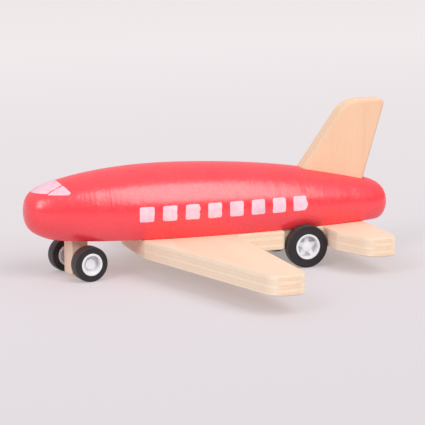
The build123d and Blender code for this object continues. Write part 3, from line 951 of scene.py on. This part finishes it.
def rim_sections(lip, barrel, wall, inner_y, outer_y, boss_inner, boss_radius, web_inner,
                 bore_end, axle, height, face_rings):
    """From the middle of the outer face, over the lip and the barrel, to the end of the bore."""
    well = barrel - wall
    sections = [face_section(well * i / face_rings, height) for i in range(face_rings + 1)]
    outline = arc_points((well + WELL_ROUND, outer_y - WELL_ROUND), WELL_ROUND, 180, 90, 5)
    outline += arc_points((lip - LIP_ROUND, outer_y - LIP_ROUND), LIP_ROUND, 90, 0, 5)
    outline += [(lip - inwards, outer_y - behind) for inwards, behind in LIP_BACK]
    outline += [(barrel, outer_y - LIP_WIDTH), (barrel, inner_y + LIP_WIDTH)]
    outline += [(lip - inwards, inner_y + behind) for inwards, behind in reversed(LIP_BACK)]
    outline += arc_points((lip - LIP_ROUND, inner_y + LIP_ROUND), LIP_ROUND, 0, -90, 5)
    outline += [(well + BEVEL, inner_y), (well, inner_y + BEVEL), (well - WELL_DRAFT, web_inner)]
    outline += [(boss_radius + BEVEL, web_inner), (boss_radius, web_inner - BEVEL)]
    outline += [(boss_radius, boss_inner + BOSS_BEVEL), (boss_radius - BOSS_BEVEL, boss_inner)]
    outline += [(axle + BEVEL, boss_inner), (axle + AXLE_GAP, boss_inner + BEVEL)]
    outline += [(axle + AXLE_GAP, bore_end), (0.0, bore_end)]
    return sections + [fixed(radius, y) for radius, y in outline]


def joint_place(joint_name):
    """Where a wheel pair's axle is: its middle, with Y along it."""
    joint = joints[joint_name]
    axis = joint["axis"]
    turn = atan2(-axis[0], axis[1])
    return Matrix.Translation(joint["pos_m"]) @ Matrix.Rotation(turn, 4, "Z")


def add_wheels(prefix, joint_name, body, tyre_points, rim):
    """Both wheels of a pair, each a detailed tyre and rim in place of the CAD ones."""
    place = joint_place(joint_name)
    rim_vertices, rim_faces = turned_shell(rim, WHEEL_STEPS)
    tyre_vertices, tyre_faces = ring_mesh(tyre_points, WHEEL_STEPS)
    for side, turn in (("port", 0.0), ("starboard", pi)):
        put = place @ Matrix.Rotation(turn, 4, "Z")
        vertices = [put @ v for v in rim_vertices]
        new_piece(f"{prefix}_{side}_rim", vertices, rim_faces, WHITE_PLASTIC, body,
                  [f"{prefix}_rim_{side}"], sharp_angle=50)
        vertices = [put @ v for v in tyre_vertices]
        new_piece(f"{prefix}_{side}_tyre", vertices, tyre_faces, RUBBER, body,
                  [f"{prefix}_tyre_{side}"], sharp_angle=50)


add_wheels(
    "rear", "rear_wheels_spin", "rear_wheels",
    tyre_outline(outer=10.0, bore=5.5, inner_y=16.5, outer_y=21.1, shoulder=0.55, bead=5.9),
    rim_sections(
        lip=5.9, barrel=5.5, wall=0.6, inner_y=16.0, outer_y=21.4, boss_inner=14.8, boss_radius=2.6,
        web_inner=16.8, bore_end=18.7, axle=1.0,
        height=rear_face_height(dish=17.9, hub_top=19.7), face_rings=40,
    ),
)
add_wheels(
    "nose", "nose_wheels_spin", "nose_wheels",
    tyre_outline(outer=8.0, bore=4.7, inner_y=9.45, outer_y=15.0, shoulder=0.5, bead=5.05),
    rim_sections(
        lip=5.05, barrel=4.7, wall=0.7, inner_y=9.0, outer_y=15.3, boss_inner=4.5, boss_radius=2.0,
        web_inner=11.2, bore_end=12.45, axle=1.0,
        height=nose_face_height(dish=12.4, hub_top=13.35), face_rings=34,
    ),
)


# --- Stage, light and camera -----------------------------------------------------------

FLOOR_FADE = -0.77               # change in the paper's tone and glow for a metre towards port: painted light, darker towards the camera
FLOOR_TONE = 0.23                # its tone under the toy, from 0 (near) to 1 (far)


def glowing_floor():
    """Pale paper that glows: its emission is painted light that lifts the shadows on it and lights the
    toy from below; tone and glow get lighter towards the back.
    """
    paint = Paint("glowing_backdrop", (0.5, 0.48, 0.51), 0.9, Specular_IOR_Level=0.1)
    # painted light: the paper glows though it is no lamp
    paint.set("Emission Strength", 0.36)
    back = paint.math("MULTIPLY_ADD", paint.axis("Y"), FLOOR_FADE, FLOOR_TONE)
    tones = ((0.0, (0.40, 0.382, 0.418)), (1.0, (0.48, 0.455, 0.472)))
    glow = ((0.0, (0.82, 0.75, 0.735)), (1.0, (1.0, 0.945, 0.925)))
    paint.use(paint.ramp(back, tones), "Base Color")
    paint.use(paint.ramp(back, glow), "Emission Color")
    return paint.material


FLOOR_REACH = 8.0
floor_corners = [
    (-FLOOR_REACH, -FLOOR_REACH, 0.0),
    (FLOOR_REACH, -FLOOR_REACH, 0.0),
    (FLOOR_REACH, FLOOR_REACH, 0.0),
    (-FLOOR_REACH, FLOOR_REACH, 0.0),
]
floor_mesh = bpy.data.meshes.new("floor")
floor_mesh.from_pydata(floor_corners, [], [(0, 1, 2, 3)])
floor_mesh.materials.append(glowing_floor())
floor = bpy.data.objects.new("floor", floor_mesh)
bpy.context.scene.collection.objects.link(floor)


def from_port(angle, elevation):
    """Unit vector seen from the port side: angle turns towards the nose (degrees)."""
    a, e = radians(angle), radians(elevation)
    return Vector((sin(a) * cos(e), cos(a) * cos(e), sin(e)))


STUDIO_DISTANCE = 10.0
TOY_MIDDLE = Vector((0, 0, 0.03))


def softbox(name, angle, elevation, size, power):
    """A large rectangular light that faces the toy."""
    light = bpy.data.lights.new(name, "AREA")
    light.shape = "RECTANGLE"
    light.size, light.size_y = size
    light.energy = power
    lamp = bpy.data.objects.new(name, light)
    bpy.context.scene.collection.objects.link(lamp)
    out = from_port(angle, elevation)
    lamp.location = TOY_MIDDLE + out * STUDIO_DISTANCE
    lamp.rotation_euler = out.to_track_quat("Z", "Y").to_euler()


softbox("softbox_tail_side", -25, 43, (7.2, 8.1), 680.0)
softbox("softbox_nose_side", 56, 36, (3.6, 5.2), 265.0)

# the room's own light: brightest overhead, and a little brighter beyond the nose and to starboard
ROOM_GLOW = 0.38
ROOM_SLOPE = (0.12, -0.17, 0.35)
world = bpy.data.worlds.new("studio")
world.use_nodes = True
room = world.node_tree
background = room.nodes["Background"]
background.inputs["Color"].default_value = (1.0, 0.98, 0.985, 1.0)
direction = room.nodes.new("ShaderNodeTexCoord")
extra_light = room.nodes.new("ShaderNodeVectorMath")
extra_light.operation = "DOT_PRODUCT"
extra_light.inputs[1].default_value = ROOM_SLOPE
total_light = room.nodes.new("ShaderNodeMath")
total_light.operation = "ADD"
total_light.inputs[1].default_value = ROOM_GLOW
never_negative = room.nodes.new("ShaderNodeMath")
never_negative.operation = "MAXIMUM"
never_negative.inputs[1].default_value = 0.0
room.links.new(direction.outputs["Generated"], extra_light.inputs[0])
room.links.new(extra_light.outputs["Value"], total_light.inputs[0])
room.links.new(total_light.outputs[0], never_negative.inputs[0])
room.links.new(never_negative.outputs[0], background.inputs["Strength"])
bpy.context.scene.world = world
bpy.context.scene.view_settings.view_transform = "Standard"

VIEW_ANGLE = 20.13
VIEW_ELEVATION = 10.97
VIEW_DISTANCE = 0.8004
LENS = 145.9
SENSOR_WIDTH = 36.0
SIDE_SHIFT = 0.0027
NEAREST = 0.05
FARTHEST = 50.0
AIM = Vector((-0.00035, 0.0, 0.025))

camera_data = bpy.data.cameras.new("camera")
camera_data.lens = LENS
camera_data.sensor_width = SENSOR_WIDTH
camera_data.clip_start = NEAREST
camera_data.clip_end = FARTHEST
camera_data.shift_x = SIDE_SHIFT
camera = bpy.data.objects.new("camera", camera_data)
bpy.context.scene.collection.objects.link(camera)
toward_camera = from_port(VIEW_ANGLE, VIEW_ELEVATION)
camera.location = AIM + toward_camera * VIEW_DISTANCE
camera.rotation_euler = toward_camera.to_track_quat("Z", "Y").to_euler()
bpy.context.scene.camera = camera
